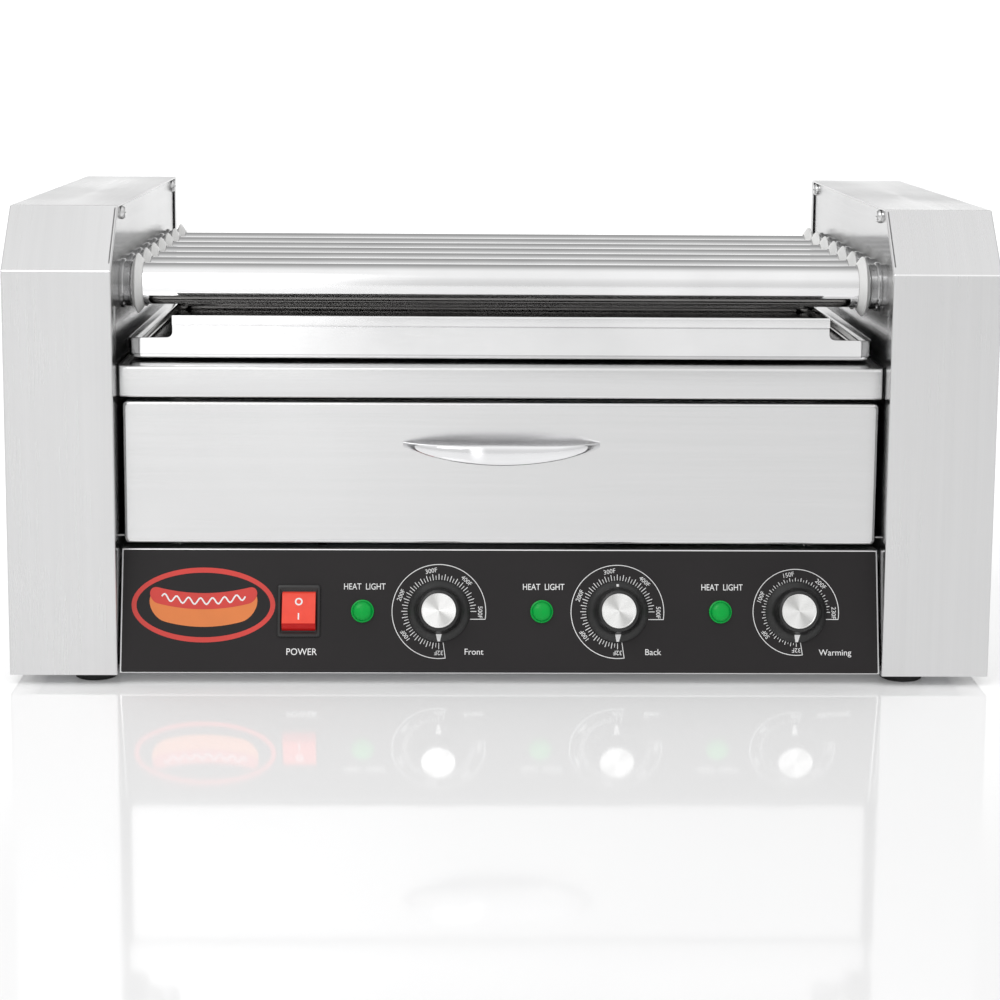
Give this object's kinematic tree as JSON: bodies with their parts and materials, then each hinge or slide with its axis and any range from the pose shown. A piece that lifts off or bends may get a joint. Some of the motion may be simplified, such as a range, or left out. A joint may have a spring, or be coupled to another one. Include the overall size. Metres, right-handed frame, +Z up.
{
  "type": "hot dog roller grill",
  "caption": "Countertop roller grill with polished heated rollers between two end towers, a drip tray, a bun drawer and a sloping control panel.",
  "frame": {"origin": "centre of the machine's footprint box, on the surface its feet stand on", "axes": "+X across the machine to the right as the user faces it, +Y towards its back, +Z up"},
  "size_m": [0.58, 0.3382, 0.281],
  "materials": {
    "brushed_stainless": "brushed stainless sheet",
    "polished_stainless": "mirror polished stainless",
    "zinc_plated_steel": "zinc plated",
    "drive_steel": "oiled plain steel",
    "heater_sheath": "heat darkened sheath",
    "white_ptfe": "waxy matt",
    "black_panel": "satin black with printed white marks",
    "black_plastic": "satin moulded",
    "black_rubber": "matt",
    "green_lens": "glossy translucent",
    "red_lens": "glossy translucent",
    "motor_casing": "satin cast"
  },
  "bodies": {
    "grill_frame": {"left_cover": "brushed_stainless", "left_inner_wall": "brushed_stainless", "foot_left_front": "black_rubber", "foot_left_back": "black_rubber", "right_cover": "brushed_stainless", "right_inner_wall": "brushed_stainless", "foot_right_front": "black_rubber", "foot_right_back": "black_rubber", "base_pan": "zinc_plated_steel", "rear_panel": "brushed_stainless", "cable_gland": "black_plastic", "cabinet_top": "brushed_stainless", "control_panel": "black_panel", "drive_chain": "drive_steel", "gear_motor": "motor_casing", "element_rack": "heater_sheath", "warmer_element": "heater_sheath", "switch_housing": "black_plastic", "heat_lamp_1": "green_lens", "heat_lamp_2": "green_lens", "heat_lamp_3": "green_lens", "front_thermostat": "zinc_plated_steel", "back_thermostat": "zinc_plated_steel", "warmer_thermostat": "zinc_plated_steel"},
    "roller_1": {"roller_tube_1": "polished_stainless", "seal_left_1": "white_ptfe", "seal_right_1": "white_ptfe", "roller_sprocket_1": "drive_steel"},
    "roller_2": {"roller_tube_2": "polished_stainless", "seal_left_2": "white_ptfe", "seal_right_2": "white_ptfe", "roller_sprocket_2": "drive_steel"},
    "roller_3": {"roller_tube_3": "polished_stainless", "seal_left_3": "white_ptfe", "seal_right_3": "white_ptfe", "roller_sprocket_3": "drive_steel"},
    "roller_4": {"roller_tube_4": "polished_stainless", "seal_left_4": "white_ptfe", "seal_right_4": "white_ptfe", "roller_sprocket_4": "drive_steel"},
    "roller_5": {"roller_tube_5": "polished_stainless", "seal_left_5": "white_ptfe", "seal_right_5": "white_ptfe", "roller_sprocket_5": "drive_steel"},
    "roller_6": {"roller_tube_6": "polished_stainless", "seal_left_6": "white_ptfe", "seal_right_6": "white_ptfe", "roller_sprocket_6": "drive_steel"},
    "roller_7": {"roller_tube_7": "polished_stainless", "seal_left_7": "white_ptfe", "seal_right_7": "white_ptfe", "roller_sprocket_7": "drive_steel"},
    "motor_drive": {"motor_sprocket": "drive_steel"},
    "drip_tray": {"drip_tray": "polished_stainless"},
    "bun_drawer": {"bun_drawer": "brushed_stainless", "drawer_handle": "polished_stainless"},
    "front_knob": {"front_knob": "black_plastic"},
    "back_knob": {"back_knob": "black_plastic"},
    "warmer_knob": {"warmer_knob": "black_plastic"},
    "power_rocker": {"power_rocker": "red_lens"}
  },
  "joints": [
    {"name": "roller_1_spin", "type": "hinge", "parent": "grill_frame", "child": "roller_1", "pos_m": [0, -0.1009, 0.2325], "axis": [1, 0, 0], "continuous": true},
    {"name": "roller_2_spin", "type": "hinge", "parent": "grill_frame", "child": "roller_2", "pos_m": [0, -0.0634, 0.2325], "axis": [1, 0, 0], "continuous": true},
    {"name": "roller_3_spin", "type": "hinge", "parent": "grill_frame", "child": "roller_3", "pos_m": [0, -0.0259, 0.2325], "axis": [1, 0, 0], "continuous": true},
    {"name": "roller_4_spin", "type": "hinge", "parent": "grill_frame", "child": "roller_4", "pos_m": [0, 0.0116, 0.2325], "axis": [1, 0, 0], "continuous": true},
    {"name": "roller_5_spin", "type": "hinge", "parent": "grill_frame", "child": "roller_5", "pos_m": [0, 0.0491, 0.2325], "axis": [1, 0, 0], "continuous": true},
    {"name": "roller_6_spin", "type": "hinge", "parent": "grill_frame", "child": "roller_6", "pos_m": [0, 0.0866, 0.2325], "axis": [1, 0, 0], "continuous": true},
    {"name": "roller_7_spin", "type": "hinge", "parent": "grill_frame", "child": "roller_7", "pos_m": [0, 0.1241, 0.2325], "axis": [1, 0, 0], "continuous": true},
    {"name": "motor_spin", "type": "hinge", "parent": "grill_frame", "child": "motor_drive", "pos_m": [0, 0.0116, 0.15], "axis": [1, 0, 0], "continuous": true},
    {"name": "drawer_slide", "type": "slide", "parent": "grill_frame", "child": "bun_drawer", "axis": [0, -1, 0], "range_m": [0, 0.24]},
    {"name": "tray_slide", "type": "slide", "parent": "grill_frame", "child": "drip_tray", "axis": [0, -1, 0], "range_m": [0, 0.25]},
    {"name": "front_knob_turn", "type": "hinge", "parent": "grill_frame", "child": "front_knob", "pos_m": [-0.0368, -0.15091, 0.04213], "axis": [0, 0.9628, -0.2701], "range_deg": [0, 270]},
    {"name": "back_knob_turn", "type": "hinge", "parent": "grill_frame", "child": "back_knob", "pos_m": [0.0696, -0.15091, 0.04213], "axis": [0, 0.9628, -0.2701], "range_deg": [0, 270]},
    {"name": "warmer_knob_turn", "type": "hinge", "parent": "grill_frame", "child": "warmer_knob", "pos_m": [0.1762, -0.15091, 0.04213], "axis": [0, 0.9628, -0.2701], "range_deg": [0, 270]},
    {"name": "rocker_tip", "type": "hinge", "parent": "grill_frame", "child": "power_rocker", "pos_m": [-0.12, -0.15091, 0.04213], "axis": [1, 0, 0], "range_deg": [0, 22]}
  ],
  "couplings": [
    {"joint": "roller_2_spin", "follows": "roller_1_spin", "ratio": 1},
    {"joint": "roller_3_spin", "follows": "roller_1_spin", "ratio": 1},
    {"joint": "roller_4_spin", "follows": "roller_1_spin", "ratio": 1},
    {"joint": "roller_5_spin", "follows": "roller_1_spin", "ratio": 1},
    {"joint": "roller_6_spin", "follows": "roller_1_spin", "ratio": 1},
    {"joint": "roller_7_spin", "follows": "roller_1_spin", "ratio": 1},
    {"joint": "motor_spin", "follows": "roller_1_spin", "ratio": 1.3333}
  ]
}
